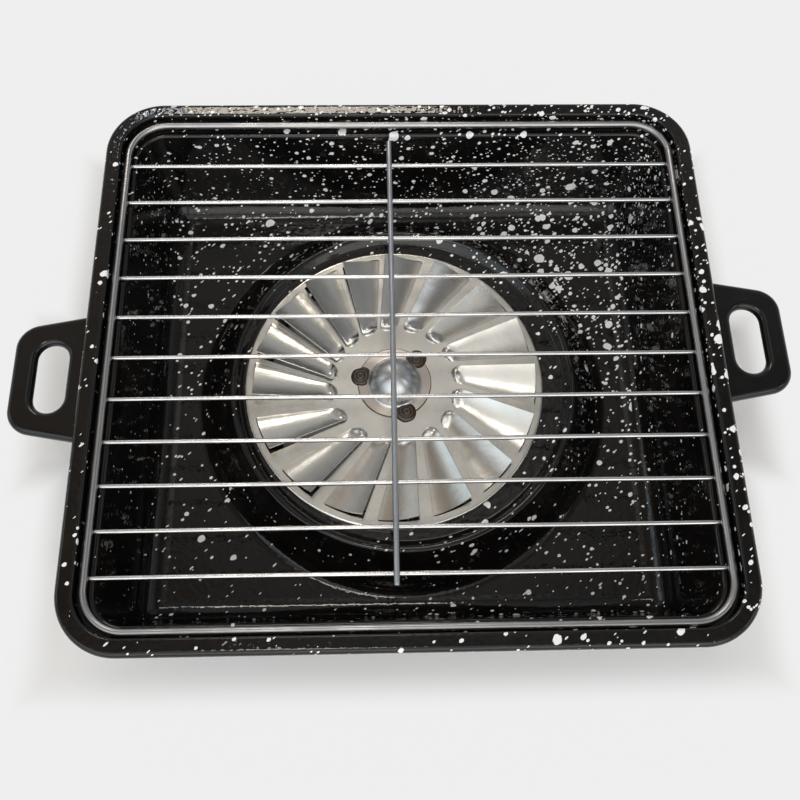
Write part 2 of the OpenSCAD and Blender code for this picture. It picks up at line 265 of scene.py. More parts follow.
def collar_path():
    return [
        (BURNER_R, SEAT_H - BURNER_LIP),
        (BURNER_R, SEAT_H),
        (SEAT_R, SEAT_H),
        (CREST_R, CREST_H),
        (COLLAR_FOOT_R, PAN_T),
        (COLLAR_FOOT_R + FOOT_RING, PAN_T),
    ], [TIGHT_BEND_R + PAN_T, SEAT_BEND_R, CREST_BEND_R, FOOT_BEND_R]


def make_pan(material):
    b = Builder()
    bases, normals = perimeter(PAN_HALF_W - RIM_CORNER_R, PAN_HALF_L - RIM_CORNER_R, 28, 20)

    def rim_ring(p):
        return b.ring([(*xy, p[1]) for xy in bases + normals * p[0]])

    upper, lower = sheet_section(*pan_path(), PAN_T)
    rim = [rim_ring(p) for p in upper + lower[::-1]]
    b.strip(rim)
    upper, lower = sheet_section(*collar_path(), PAN_T)
    collar = [b.ring(circle_points(p[0], p[1], 224)) for p in upper[::-1] + lower]
    b.strip(collar)
    b.zip_flat(rim[0], collar[0])
    b.zip_flat(rim[-1], collar[-1])
    return b.build("enamel_pan", material, "pan", ["pan"])


# Handles

def handle_outline(inset):
    root, tip = HANDLE_ROOT_X + inset, HANDLE_TIP_X - inset
    root_half, tip_half = HANDLE_ROOT_W / 2 - inset, HANDLE_TIP_W / 2 - inset
    r = HANDLE_CORNER_R - inset
    path = [np.array(p, float) for p in
            [(root, -root_half), (tip, -tip_half), (tip, tip_half), (root, root_half)]]
    corners = bend(*path[:3], r, 0, 14) + bend(*path[1:], r, 0, 14)
    loop = [path[0]] + corners + [path[3]]
    return densified(loop, [(0, 1, 14), (15, 16, 10), (len(loop) - 2, len(loop) - 1, 14), (len(loop) - 1, 0, 12)])


def densified(loop, stretches):
    """The loop with extra points along its straight stretches, given as (from, to, parts)."""
    parts = {a: n for a, _, n in stretches}
    points = []
    for i, p in enumerate(loop):
        following = loop[(i + 1) % len(loop)]
        points += [p + (following - p) * k / parts.get(i, 1) for k in range(parts.get(i, 1))]
    return points


def slot_outline(margin):
    x = HANDLE_TIP_X - SLOT_EDGE - SLOT_W / 2
    straight = (SLOT_L - SLOT_W) / 2
    r = SLOT_W / 2 + margin
    points = []
    for end in (1, -1):
        for k in range(21):
            angle = math.pi * k / 20 + (0 if end > 0 else math.pi)
            points.append(np.array([x + r * math.cos(angle), end * straight + r * math.sin(angle)]))
    return densified(points, [(20, 21, 8), (41, 0, 8)])


def edge_rows(depth, bend_r):
    """Rows over a turned-down edge: how far in from the outline, and how far below the top."""
    tip_r = 0.45
    rows = []
    for k in range(7):
        a = math.radians(15 * k)
        rows.append((bend_r * (1 - math.sin(a)), bend_r * (1 - math.cos(a))))
    for k in range(5):
        a = math.radians(22.5 * k)
        rows.append((tip_r * (1 - math.cos(a)), depth - tip_r * (1 - math.sin(a))))
    for k in range(5):
        a = math.radians(22.5 * k)
        rows.append((HANDLE_T - tip_r * (1 - math.sin(a)), depth - tip_r * (1 - math.cos(a))))
    inner_r = bend_r - HANDLE_T
    for k in range(5):
        a = math.radians(22.5 * k)
        rows.append((HANDLE_T + inner_r * (1 - math.cos(a)), HANDLE_T + inner_r * (1 - math.sin(a))))
    return rows


def lip_share(x):
    """How much of the lip there is at x: none at the root, where the plate lies against the ledge."""
    return smooth((x - LIP_STARTS) / (LIP_FULL - LIP_STARTS))


def make_handle(side, material):
    b = Builder()
    turn = 1 if side == "right" else -1

    def ring(outline, depths):
        return b.ring([(turn * p[0], turn * p[1] + HANDLE_Y[side], HANDLE_Z - d) for p, d in zip(outline, depths)])

    def edge(outline_at):
        """The rings over an edge, from the top flat to the lower one, with no lip at the root."""
        full = edge_rows(HANDLE_LIP, HANDLE_BEND_R)
        short = edge_rows(HANDLE_T + 0.9, ROOT_BEND_R)
        full = [(HANDLE_BEND_R + HANDLE_HOLD, 0)] + full + [(HANDLE_BEND_R + HANDLE_HOLD, HANDLE_T)]
        short = [(ROOT_BEND_R + HANDLE_HOLD, 0)] + short + [(ROOT_BEND_R + HANDLE_HOLD, HANDLE_T)]
        rings = []
        shares = [lip_share(p[0]) for p in outline_at(0)]
        for (inset, deep), (near, shallow) in zip(full, short):
            depths = [mix(min(shallow, HANDLE_T), deep, s) for s in shares]
            outline = [mix(p, q, s) for p, q, s in zip(outline_at(near), outline_at(inset), shares)]
            rings.append(ring(outline, depths))
        return rings

    outer = edge(handle_outline)
    inner = edge(slot_outline)
    b.strip(outer)
    b.strip(inner)
    middle = (turn * (HANDLE_TIP_X - SLOT_EDGE - SLOT_W / 2), HANDLE_Y[side])
    b.zip_flat(outer[0], inner[0], middle)
    b.zip_flat(outer[-1], inner[-1], middle)
    return b.build(f"handle_{side}_plate", material, "pan", [f"handle_{side}"])


# Wire rack

def wire_y(i):
    half = (CROSS_WIRES - 1) / 2
    k = half - i
    return k * WIRE_PITCH - WIRE_DRIFT * (1 - (k / half) ** 2)


def wire_rows(length, radius):
    """Distances along a cut wire with the radius there, rounded a little at both ends."""
    nose = 0.35
    ends = [(nose * (1 - math.cos(a)), radius - nose * (1 - math.sin(a))) for a in np.radians([0, 30, 60, 90])]
    middle = [(s, radius) for s in np.linspace(2, length - 2, 60)]
    return ends + middle + [(length - s, r) for s, r in reversed(ends)]


def straight_wire(b, start, along, length, radius, drift):
    """A wire from start that strays a little from its line, as a real one does."""
    side = along.cross(Vector((0, 0, 1))).normalized()
    rings = []
    for s, r in wire_rows(length, radius):
        centre = start + along * s + side * drift(s / length)
        points = []
        for k in range(20):
            a = math.tau * k / 20
            points.append(centre + side * r * math.cos(a) + Vector((0, 0, 1)) * r * math.sin(a))
        rings.append(b.ring(points))
    b.strip(rings)
    b.fan(rings[0], start)
    b.fan(rings[-1], start + along * length)


def make_cross_wire(i, material):
    b = Builder()
    start = Vector((-CROSS_HALF, wire_y(i), CROSS_Z))
    phase = 1.7 * i
    straight_wire(b, start, Vector((1, 0, 0)), 2 * CROSS_HALF, CROSS_WIRE_D / 2,
                  lambda t: 0.25 * math.sin(math.pi * t) * math.sin(phase + 5 * t))
    number = f"{i + 1:02d}"
    return b.build(f"rack_wire_{number}", material, "rack", [f"cross_wire_{number}"])


def make_rod(material):
    b = Builder()
    start = Vector((ROD_X, ROD_Y - ROD_L / 2, ROD_Z))
    straight_wire(b, start, Vector((0, 1, 0)), ROD_L, ROD_D / 2, lambda t: 0.2 * math.sin(math.pi * t))
    return b.build("rack_rod", material, "rack", ["centre_rod"])


def make_frame_wire(material):
    b = Builder()
    bases, normals = perimeter(RACK_X - RACK_CORNER_R, RACK_Y - RACK_CORNER_R, 20, 40)
    r = FRAME_WIRE_D / 2
    rings = []
    for k in range(24):
        a = math.tau * k / 24
        line = bases + normals * (RACK_CORNER_R + r * math.cos(a))
        rings.append(b.ring([(*p, FRAME_Z + r * math.sin(a)) for p in line]))
    b.strip(rings, loop=True)
    return b.build("rack_frame_wire", material, "rack", ["rack_frame"])


def weld_bead(b, centre, size, seed):
    """A squeezed bead of metal where two wires cross."""
    rows = 8
    rings = []
    for j in range(1, rows):
        polar = math.pi * j / rows
        ring = []
        for k in range(14):
            a = math.tau * k / 14
            swell = 1 + 0.1 * math.sin(3 * a + seed) * math.sin(polar)
            ring.append(centre + Vector((
                size[0] * math.sin(polar) * math.cos(a) * swell,
                size[1] * math.sin(polar) * math.sin(a) * swell,
                size[2] * math.cos(polar),
            )))
        rings.append(b.ring(ring))
    b.strip(rings)
    b.fan(rings[0], centre + Vector((0, 0, size[2])))
    b.fan(rings[-1], centre - Vector((0, 0, size[2])))


def make_rack_welds(material):
    b = Builder()
    contact_z = CROSS_Z + CROSS_WIRE_D / 2
    for i in range(CROSS_WIRES):
        for side in (-1, 1):
            weld_bead(b, Vector((side * RACK_X, wire_y(i), contact_z)), (1.5, 1.35, 0.75), i + side)
        weld_bead(b, Vector((ROD_X, wire_y(i), contact_z)), (1.3, 1.25, 0.6), 2 * i)
    return b.build("rack_welds", material, "rack")


# Diffuser

def louvre_angles():
    plain = (360 - CLOSE_LOUVRES * CLOSE_PITCH - WIDE_GAPS * WIDE_EXTRA) / (LOUVRES - CLOSE_LOUVRES)
    gaps = [plain] * LOUVRES_BEFORE + [CLOSE_PITCH] * CLOSE_LOUVRES + [plain + WIDE_EXTRA] * WIDE_GAPS
    gaps += [plain] * (LOUVRES - len(gaps))
    return [LOUVRE_START + sum(gaps[:i]) for i in range(LOUVRES)]


def nose_inset(v, width):
    """How far a louvre's sides draw in towards each other at its rounded inner end."""
    share = 0.1
    if v >= share:
        return 0.0
    return 0.42 * width * (1 - math.sqrt(1 - (1 - v / share) ** 2))


def louvre_plan(u, v):
    width = mix(LOUVRE_IN_W, LOUVRE_OUT_W, v)
    inset = nose_inset(v, width)
    y = mix(LOUVRE_OFFSET - width + inset, LOUVRE_OFFSET - inset, u)
    r = mix(LOUVRE_IN_R, LOUVRE_OUT_R, v)
    return np.array([math.sqrt(r * r - y * y), y])


def louvre_height(u, v):
    """Closed and rounded at the inner end, then open along the free edge."""
    closed = math.sin(math.pi * min(u, 1)) ** 0.8
    across = mix(closed, u ** LOUVRE_CURVE, smooth(v / CLOSED_SHARE))
    return across * mix(LOUVRE_INNER_RISE, LOUVRE_RISE, v) * smooth(v / NOSE_SHARE)


LOUVRE_US = [k / 16 for k in range(17)]
LOUVRE_VS = [0.1 * (k / 12) ** 1.5 for k in range(12)] + [0.1 + 0.9 * k / 22 for k in range(23)]
LOUVRE_TURN = math.asin(LOUVRE_OFFSET / LOUVRE_OUT_R)
EDGE_ROUND = [(0.14, 0.03), (0.25, 0.12), (0.3, 0.26)]


def louvre_frame(angle):
    return Matrix.Rotation(math.radians(angle) - LOUVRE_TURN, 2)


def opening_outline():
    """The opening under a louvre, cut a little past its free edge and its open end."""
    fold = [louvre_plan(0, v) for v in LOUVRE_VS]
    outer = [louvre_plan(u, 1) * (1 + LOUVRE_SLIT / LOUVRE_OUT_R) for u in LOUVRE_US]
    edge = []
    for v in reversed(LOUVRE_VS):
        edge.append(louvre_plan(1, v) + np.array([0, LOUVRE_SLIT * smooth(v / NOSE_SHARE)]))
    corner = outer[-1] + np.array([0, LOUVRE_SLIT])
    return fold + outer[1:] + [corner] + edge[1:-1]


def add_louvre(b, angle):
    turn = louvre_frame(angle)
    root = 0.35
    sunk = 0.08

    def row(v, lower):
        points = []
        for u in [-1] + LOUVRE_US:
            p = louvre_plan(max(u, 0), v)
            if u < 0:
                p = p - np.array([0, root])
            z = -sunk if u < 0 else louvre_height(u, v)
            if lower:
                z = z - DISC_T + (2 * sunk if u < 0 else 0)
            xy = turn @ Vector(p)
            points.append((xy.x, xy.y, z))
        if not lower:
            for out, down in EDGE_ROUND:
                xy = turn @ Vector(louvre_plan(1, v) + np.array([0, out]))
                points.append((xy.x, xy.y, louvre_height(1, v) - down))
        return b.ring(points)

    upper = [row(v, False) for v in LOUVRE_VS]
    lower = [row(v, True) for v in LOUVRE_VS]
    b.strip(upper, closed=False)
    b.strip(lower, closed=False)
    for end in (0, -1):
        b.bridge(upper[end][:len(lower[end])], lower[end], closed=False)
        edge = upper[end][len(lower[end]) - 1:]
        for a, c in zip(edge, edge[1:]):
            b.faces.append((a, c, lower[end][-1]))
    for column in (0, -1):
        b.bridge([r[column] for r in upper], [r[column] for r in lower], closed=False)


def flat_sheet(b, outer_r, openings):
    """The flat of the disc, from its middle to outer_r, with the louvres cut out of it."""
    points, edges, count = [], [], 240
    loops = [[(p[0], p[1]) for p in circle_points(outer_r, 0, count)]]
    loops += openings
    for loop in loops:
        first = len(points)
        points += [Vector(p) for p in loop]
        edges += [(first + k, first + (k + 1) % len(loop)) for k in range(len(loop))]
    found, _, faces, *_ = delaunay_2d_cdt(points, edges, [], 1, 1e-6)
    kept = [f for f in faces if not inside_opening(sum((found[i] for i in f), Vector((0, 0))) / len(f), openings)]
    top = b.ring([(p.x, p.y, 0) for p in found])
    low = b.ring([(p.x, p.y, -DISC_T) for p in found])
    b.faces += [tuple(top[i] for i in f) for f in kept]
    b.faces += [tuple(low[i] for i in reversed(f)) for f in kept]
    sides = {}
    for f in kept:
        for k in range(len(f)):
            edge = (f[k], f[(k + 1) % len(f)])
            sides[edge] = sides.get(edge, 0) + 1
    for a, c in sides:
        if (c, a) not in sides and found[a].length < outer_r - 0.01:
            b.faces.append((top[a], top[c], low[c], low[a]))
    rim = [i for i, p in enumerate(found) if p.length > outer_r - 0.01]
    rim.sort(key=lambda i: math.atan2(found[i].y, found[i].x) % math.tau)
    return [top[i] for i in rim], [low[i] for i in rim]


def inside_opening(p, openings):
    """Whether a point lies in one of the openings, by counting crossings."""
    for loop in openings:
        inside = False
        for (x0, y0), (x1, y1) in zip(loop, loop[1:] + loop[:1]):
            if (y0 > p.y) != (y1 > p.y) and p.x < x0 + (p.y - y0) * (x1 - x0) / (y1 - y0):
                inside = not inside
        if inside:
            return True
    return False


def make_disc(material):
    b = Builder()
    outline = [Vector(p) for p in opening_outline()]
    openings = []
    for angle in louvre_angles():
        turn = louvre_frame(angle)
        openings.append([tuple(turn @ p) for p in outline])
        add_louvre(b, angle)
    start_r = LOUVRE_OUT_R + 1.6
    top, low = flat_sheet(b, start_r, openings)
    upper, lower = sheet_section(
        [(start_r, 0), (DISC_R, 0), (DISC_R, -DISC_EDGE_H)], [EDGE_BEND_R], DISC_T
    )
    rings = [b.ring(circle_points(p[0], p[1], 240)) for p in upper[1:] + lower[:0:-1]]
    b.strip([top] + rings + [low])
    return b.build("louvred_disc", material, "diffuser", ["diffuser_disc"], DISC_PLACE)


def dome_face(off, steps):
    ball_r = (DOME_R ** 2 + DOME_RISE ** 2) / (2 * DOME_RISE)
    ball_z = DOME_T + DOME_RISE - ball_r
    foot = math.asin((DOME_T + FOOT_FILLET - ball_z) / ball_r)
    angles = [math.pi / 2 - (math.pi / 2 - foot) * k / steps for k in range(steps + 1)]
    return [((ball_r - off) * math.cos(a), ball_z + (ball_r - off) * math.sin(a)) for a in angles]


def make_dome(material):
    b = Builder()
    outer = dome_face(0, 24)
    foot_r, foot_z = outer[-1]
    fillet = []
    for k in range(1, 7):
        a = math.radians(15 * k)
        fillet.append((foot_r + FOOT_FILLET * (1 - math.cos(a)), foot_z - (foot_z - DOME_T) * math.sin(a)))
    edge_r = 0.25
    flange = [(fillet[-1][0] + 0.4, DOME_T), (DOME_FLANGE_R - 1.2, DOME_T)]
    for k in range(7):
        a = math.radians(15 * k)
        flange.append((DOME_FLANGE_R - edge_r + edge_r * math.sin(a), DOME_T - edge_r + edge_r * math.cos(a)))
    under = [(DOME_FLANGE_R, 0.02), (DOME_R + 0.2, 0.02)]
    inner = dome_face(DOME_T, 24)[::-1]
    profile = outer[1:] + fillet + flange + under + inner[:-1]
    rings = [b.ring(circle_points(r, z, 96)) for r, z in profile]
    b.strip(rings)
    b.fan(rings[0], (0, 0, outer[0][1]))
    b.fan(rings[-1], (0, 0, inner[-1][1]))
    return b.build("dome", material, "diffuser", ["dome_cap"], DISC_PLACE)


def make_tacks(material):
    b = Builder()
    ridges = []
    for t in range(TACKS):
        a0 = math.radians(TACK_START + 360 / TACKS * t)
        centre = Vector((TACK_RING_R * math.cos(a0), TACK_RING_R * math.sin(a0), 0))
        rings = []
        rows = 22
        for j in range(1, rows + 1):
            q = j / rows
            ring = []
            for k in range(48):
                a = math.tau * k / 48
                wobble = 1 + 0.05 * math.sin(2 * a + t) + 0.03 * math.sin(5 * a + 2 * t)
                r = TACK_D / 2 * q * min(wobble, 1) * 1.2
                x, y = centre.x + r * math.cos(a), centre.y + r * math.sin(a)
                ripple = 0.09 * math.sin(q * 20 + 2.2 * math.sin(a + 2 * t)) * (1 - q ** 6)
                z = (TACK_RISE - 0.12) * (1 - q ** 4) + ripple
                ring.append((x, y, max(z, flange_height(x, y) + 0.12 * (1 - q ** 8))))
            rings.append(b.ring(ring))
            ridges += [0.5 + 0.5 * math.sin(q * 20 + 2.2 * math.sin(a + 2 * t)) if q < 0.9 else 1.0
                       for a in np.arange(48) * math.tau / 48]
        foot = b.ring([(*b.points[i][:2], -0.1) for i in rings[-1]])
        ridges += [1.0] * 48
        b.strip(rings + [foot])
        b.fan(rings[0], (centre.x, centre.y, TACK_RISE - 0.12))
        b.fan(foot, (centre.x, centre.y, -0.1))
        ridges += [0.5, 1.0]
    piece = b.build("tack_beads", material, "diffuser", ["hub_tack_welds"], DISC_PLACE)
    piece.data.attributes.new("ridge", "FLOAT", "POINT").data.foreach_set("value", ridges)
    return piece


def flange_height(x, y):
    return DOME_T if math.hypot(x, y) < DOME_FLANGE_R else 0.0


# Materials

class Shader:
    """A material's node tree with short calls for its nodes."""

    def __init__(self, name):
        self.material = bpy.data.materials.new(name)
        self.material.use_nodes = True
        self.tree = self.material.node_tree
        self.surface = self.tree.nodes["Principled BSDF"]
        self.coords = self.node("ShaderNodeTexCoord").outputs["Object"]

    @classmethod
    def of_world(cls, world):
        made = cls.__new__(cls)
        world.use_nodes = True
        made.tree = world.node_tree
        made.surface = made.tree.nodes["Background"]
        made.coords = made.node("ShaderNodeTexCoord").outputs["Generated"]
        return made

    def node(self, kind, inputs=None, **settings):
        made = self.tree.nodes.new(kind)
        for key, value in settings.items():
            setattr(made, key, value)
        for key, value in (inputs or {}).items():
            self.put(made.inputs[key], value)
        return made

    def put(self, socket, value):
        if isinstance(value, bpy.types.NodeSocket):
            self.tree.links.new(value, socket)
        else:
            socket.default_value = value

    def set(self, **values):
        for key, value in values.items():
            self.put(self.surface.inputs[key.replace("_", " ")], value)

    def maths(self, operation, *values):
        made = self.node("ShaderNodeMath", operation=operation)
        for socket, value in zip(made.inputs, values):
            self.put(socket, value)
        return made.outputs[0]

    def vector(self, operation, *values):
        made = self.node("ShaderNodeVectorMath", operation=operation)
        for socket, value in zip(made.inputs, values):
            self.put(socket, value)
        return made.outputs[0]

    def noise(self, scale, detail=2.0, roughness=0.5, coords=None):
        made = self.node("ShaderNodeTexNoise", {
            "Vector": coords or self.coords, "Scale": scale, "Detail": detail, "Roughness": roughness})
        return made

    def remap(self, value, low, high, to_low=0.0, to_high=1.0, smooth_step=False):
        made = self.node("ShaderNodeMapRange", {
            "Value": value, "From Min": low, "From Max": high, "To Min": to_low, "To Max": to_high})
        if smooth_step:
            made.interpolation_type = "SMOOTHSTEP"
        return made.outputs["Result"]

    def blend(self, share, a, b):
        made = self.node("ShaderNodeMix", data_type="RGBA")
        self.put(made.inputs["Factor"], share)
        self.put(made.inputs["A"], a)
        self.put(made.inputs["B"], b)
        return made.outputs["Result"]

    def bump(self, height, strength, distance, onto=None):
        made = self.node("ShaderNodeBump", {"Height": height, "Strength": strength, "Distance": distance})
        if onto is not None:
            self.put(made.inputs["Normal"], onto)
        return made.outputs["Normal"]


def speckles(s, cell, smallest, largest, share, offset, streak=None):
    """A mask of round flecks: one may lie in each cell, with its own radius. Sizes in millimetres."""
    coords = s.vector("ADD", s.coords, (offset, offset * 1.7, offset * 0.6))
    if streak:
        angle, length = streak
        laid = s.node("ShaderNodeMapping", vector_type="TEXTURE", inputs={
            "Vector": coords, "Rotation": (0, 0, math.radians(angle)), "Scale": (length, 1, 1)})
        coords = laid.outputs["Vector"]
    ragged = s.noise(1 / (smallest * 2.2 * MM), 1.0, coords=coords).outputs["Color"]
    ragged = s.vector("SUBTRACT", ragged, (0.5, 0.5, 0.5))
    ragged = s.node("ShaderNodeVectorMath", {0: ragged, "Scale": smallest * 1.1 * MM}, operation="SCALE").outputs[0]
    coords = s.vector("ADD", coords, ragged)
    cells = s.node("ShaderNodeTexVoronoi", {"Vector": coords, "Scale": 1 / (cell * MM)})
    random = s.node("ShaderNodeSeparateColor", {"Color": cells.outputs["Color"]})
    size = s.maths("POWER", random.outputs["Red"], 1.8)
    radius = s.remap(size, 0, 1, smallest / cell, largest / cell)
    inner = s.maths("MULTIPLY", radius, 0.9)
    cover = s.node("ShaderNodeMapRange", {
        "Value": cells.outputs["Distance"], "From Min": inner, "From Max": radius, "To Min": 1.0, "To Max": 0.0})
    there = s.maths("LESS_THAN", random.outputs["Green"], share)
    return s.maths("MULTIPLY", cover.outputs["Result"], there)


ENAMEL_GLOSS = 0.46


def fleck_density(s):
    """How thickly the white flecks lie: thickest in the back right corner, thin in front at the left. Along the back
    rim, extra flecks also serve as painted glints of the lamp's highlight.
    """
    place = s.node("ShaderNodeSeparateXYZ", {"Vector": s.coords})
    x, y, z = place.outputs["X"], place.outputs["Y"], place.outputs["Z"]
    patches = s.remap(s.noise(24, 2.0).outputs["Fac"], 0.35, 0.6, 0.75, 1.0)
    corner = s.maths("MULTIPLY", s.remap(x, 0.0, 0.05, smooth_step=True), s.remap(y, 0.0, 0.045, smooth_step=True))
    corner = s.maths("MULTIPLY", corner, patches)
    front = s.remap(y, -0.13, -0.07, s.remap(x, -0.1, 0.1, 0.4, 0.9), 1.0)
    spread = s.maths("MULTIPLY", s.remap(x, -0.12, 0.06, 0.2, 0.42), front)
    spread = s.maths("MULTIPLY", spread, s.remap(y, -0.05, 0.12, 1.0, 1.9))
    wall = s.maths("MULTIPLY", s.remap(s.maths("ABSOLUTE", x), 0.13, 0.137), s.remap(y, 0.08, 0.11, 1.0, 0.0))
    inside = s.maths("MULTIPLY", s.maths("MAXIMUM", corner, spread), s.remap(wall, 0, 1, 1.0, 0.22))
    flat = s.vector("MULTIPLY", s.coords, (1, 1, 0))
    reach = s.node("ShaderNodeVectorMath", {0: flat}, operation="LENGTH").outputs["Value"]
    inside = s.maths("MULTIPLY", inside, s.remap(reach, 0.108, 0.118, 0.4, 1.0))
    inside = s.maths("MULTIPLY", inside, s.remap(y, 0.112, 0.124, 1.0, 0.75))
    sides = s.maths("MAXIMUM", s.remap(x, 0.148, 0.151, 0.0, 0.9), s.remap(x, -0.15, -0.152, 0.0, 0.36))
    coarse = s.maths("MAXIMUM", inside, s.maths("MULTIPLY", sides, s.remap(z, 0.064, 0.068)))
    fine = s.maths("MULTIPLY", coarse, s.remap(s.maths("ABSOLUTE", x), 0.148, 0.151, 1.0, 0.5))
    # Extra flecks along the back rim: partly the enamel's own flecks, partly painted glints for the sparkle of the
    # lamp's highlight there
    back_rim_flecks_and_glints = s.maths("MULTIPLY", s.remap(y, 0.138, 0.141), s.remap(z, 0.064, 0.068))
    fine = s.maths("MAXIMUM", fine, s.maths("MULTIPLY", back_rim_flecks_and_glints, 0.75))
    return fine, s.maths("MAXIMUM", coarse, s.maths("MULTIPLY", back_rim_flecks_and_glints, 0.2))


def enamel_material():
    s = Shader("speckled_enamel")
    fine, coarse = fleck_density(s)
    flecks = [
        speckles(s, 2.2, 0.35, 0.9, s.remap(fine, 0.04, 1, 0.0, 0.6), 0.0, (35, 1.4)),
        speckles(s, 2.2, 0.26, 0.5, s.remap(fine, 0, 1, 0.12, 1.0), 0.83, (42, 3.0)),
        speckles(s, 4.0, 0.8, 1.5, s.remap(coarse, 0.03, 1, 0.0, 0.43), 0.31, (38, 1.25)),
        speckles(s, 6.5, 1.4, 2.3, s.remap(coarse, 0.1, 1, 0.0, 0.46), 0.57, (38, 1.25)),
        speckles(s, 9.5, 2.2, 3.6, s.remap(coarse, 0.4, 1, 0.0, 0.45), 0.19),
    ]
    mask = flecks[0]
    for layer in flecks[1:]:
        mask = s.maths("MAXIMUM", mask, layer)
    cloud = s.noise(60, 3.0).outputs["Fac"]
    black = s.blend(s.remap(cloud, 0.35, 0.7), (0.0035, 0.0035, 0.004, 1), (0.0085, 0.0068, 0.0055, 1))
    white = s.blend(s.remap(cloud, 0.3, 0.7), (0.92, 0.93, 0.94, 1), (0.99, 0.99, 0.98, 1))
    s.set(Base_Color=s.blend(mask, black, white))
    s.set(Roughness=s.remap(mask, 0, 1, 0.06, 0.2), Specular_IOR_Level=ENAMEL_GLOSS)
    waves = s.bump(s.noise(38, 2.0).outputs["Fac"], 0.06, 0.0012)
    height = s.node("ShaderNodeSeparateXYZ", {"Vector": s.coords}).outputs["Z"]
    peel = s.bump(s.noise(300, 1.5).outputs["Fac"], s.remap(height, 0.06, 0.066, 0.32, 0.42), 0.0004, waves)
    s.set(Normal=s.bump(mask, 0.25, 0.0001, peel))
    return s.material


def handle_material():
    s = Shader("plain_enamel")
    cloud = s.noise(90, 3.0).outputs["Fac"]
    s.set(Base_Color=s.blend(cloud, (0.003, 0.003, 0.0035, 1), (0.008, 0.008, 0.008, 1)))
    s.set(Specular_IOR_Level=ENAMEL_GLOSS)
    s.set(Roughness=s.remap(s.noise(160, 2.0).outputs["Fac"], 0.3, 0.7, 0.1, 0.2))
    waves = s.bump(s.noise(45, 2.0).outputs["Fac"], 0.3, 0.0008)
    s.set(Normal=s.bump(s.noise(500, 2.0).outputs["Fac"], 0.1, 0.0002, waves))
    return s.material


def wire_material(name, colour, dull):
    s = Shader(name)
    grain = s.noise(900, 2.0).outputs["Fac"]
    cloud = s.noise(70, 3.0).outputs["Fac"]
    shade = tuple(c * 0.8 for c in colour[:3]) + (1,)
    s.set(Metallic=1.0, Base_Color=s.blend(s.remap(cloud, 0.35, 0.65), colour, shade))
    s.set(Roughness=s.remap(cloud, 0.3, 0.7, dull - 0.05, dull + 0.07))
    s.set(Normal=s.bump(grain, 0.008, 0.0001))
    return s.material


def disc_material():
    s = Shader("rolled_steel")
    cloud = s.noise(30, 4.0).outputs["Fac"]
    grain = s.noise(1300, 3.0, 0.6).outputs["Fac"]
    dents = s.noise(95, 2.0).outputs["Fac"]
    s.set(Metallic=1.0)
    s.set(Base_Color=s.blend(s.remap(cloud, 0.3, 0.7), (0.74, 0.725, 0.68, 1), (0.63, 0.62, 0.59, 1)))
    s.set(Roughness=s.remap(cloud, 0.3, 0.7, 0.19, 0.27))
    s.set(Normal=s.bump(grain, 0.26, 0.00012, s.bump(dents, 0.3, 0.0005)))
    return s.material


def dome_material():
    s = Shader("polished_steel")
    cloud = s.noise(120, 3.0).outputs["Fac"]
    centre = s.vector("SUBTRACT", s.coords, DISC_PLACE * MM)
    reach = s.node("ShaderNodeVectorMath", {0: s.vector("MULTIPLY", centre, (1, 1, 0))}, operation="LENGTH")
    flange = s.remap(reach.outputs["Value"], (DOME_R + 0.3) * MM, (DOME_R + 1.3) * MM)
    turned_steel = s.blend(cloud, (0.6, 0.62, 0.64, 1), (0.7, 0.7, 0.7, 1))
    seam = s.remap(reach.outputs["Value"], (DOME_FLANGE_R - 0.5) * MM, (DOME_FLANGE_R - 0.3) * MM)
    flat = s.blend(seam, (0.66, 0.61, 0.57, 1), (0.09, 0.06, 0.045, 1))
    s.set(Metallic=1.0, Base_Color=s.blend(flange, turned_steel, flat))
    s.set(Roughness=s.remap(cloud, 0.3, 0.7, 0.26, 0.34), Anisotropic=0.8, Anisotropic_Rotation=0.25)
    s.set(Tangent=s.node("ShaderNodeTangent", direction_type="RADIAL", axis="Z").outputs[0])
    s.set(Normal=s.bump(s.noise(1200, 2.0).outputs["Fac"], 0.04, 0.0001))
    return s.material


def oxide_material():
    s = Shader("weld_oxide")
    cloud = s.noise(320, 4.0, 0.6).outputs["Fac"]
    ridge = s.node("ShaderNodeAttribute", attribute_name="ridge").outputs["Fac"]
    tint = s.blend(s.remap(cloud, 0.4, 0.6), (0.1, 0.075, 0.055, 1), (0.085, 0.085, 0.075, 1))
    tint = s.blend(s.remap(ridge, 0.6, 0.95), tint, (0.03, 0.01, 0.006, 1))
    s.set(Metallic=0.6, Base_Color=tint)
    s.set(Roughness=s.remap(cloud, 0.3, 0.7, 0.25, 0.45))
    s.set(Normal=s.bump(cloud, 0.3, 0.0006))
    return s.material


# Stage, light and camera

FLOOR_COLOUR = (0.863, 0.863, 0.863, 1)
EVEN_FROM, EVEN_FULL, EVEN_SHARE = 0.0, 0.022, 0.98
SIDE_SHADOW = 20.0
LAMP_DISTANCE = 2.5


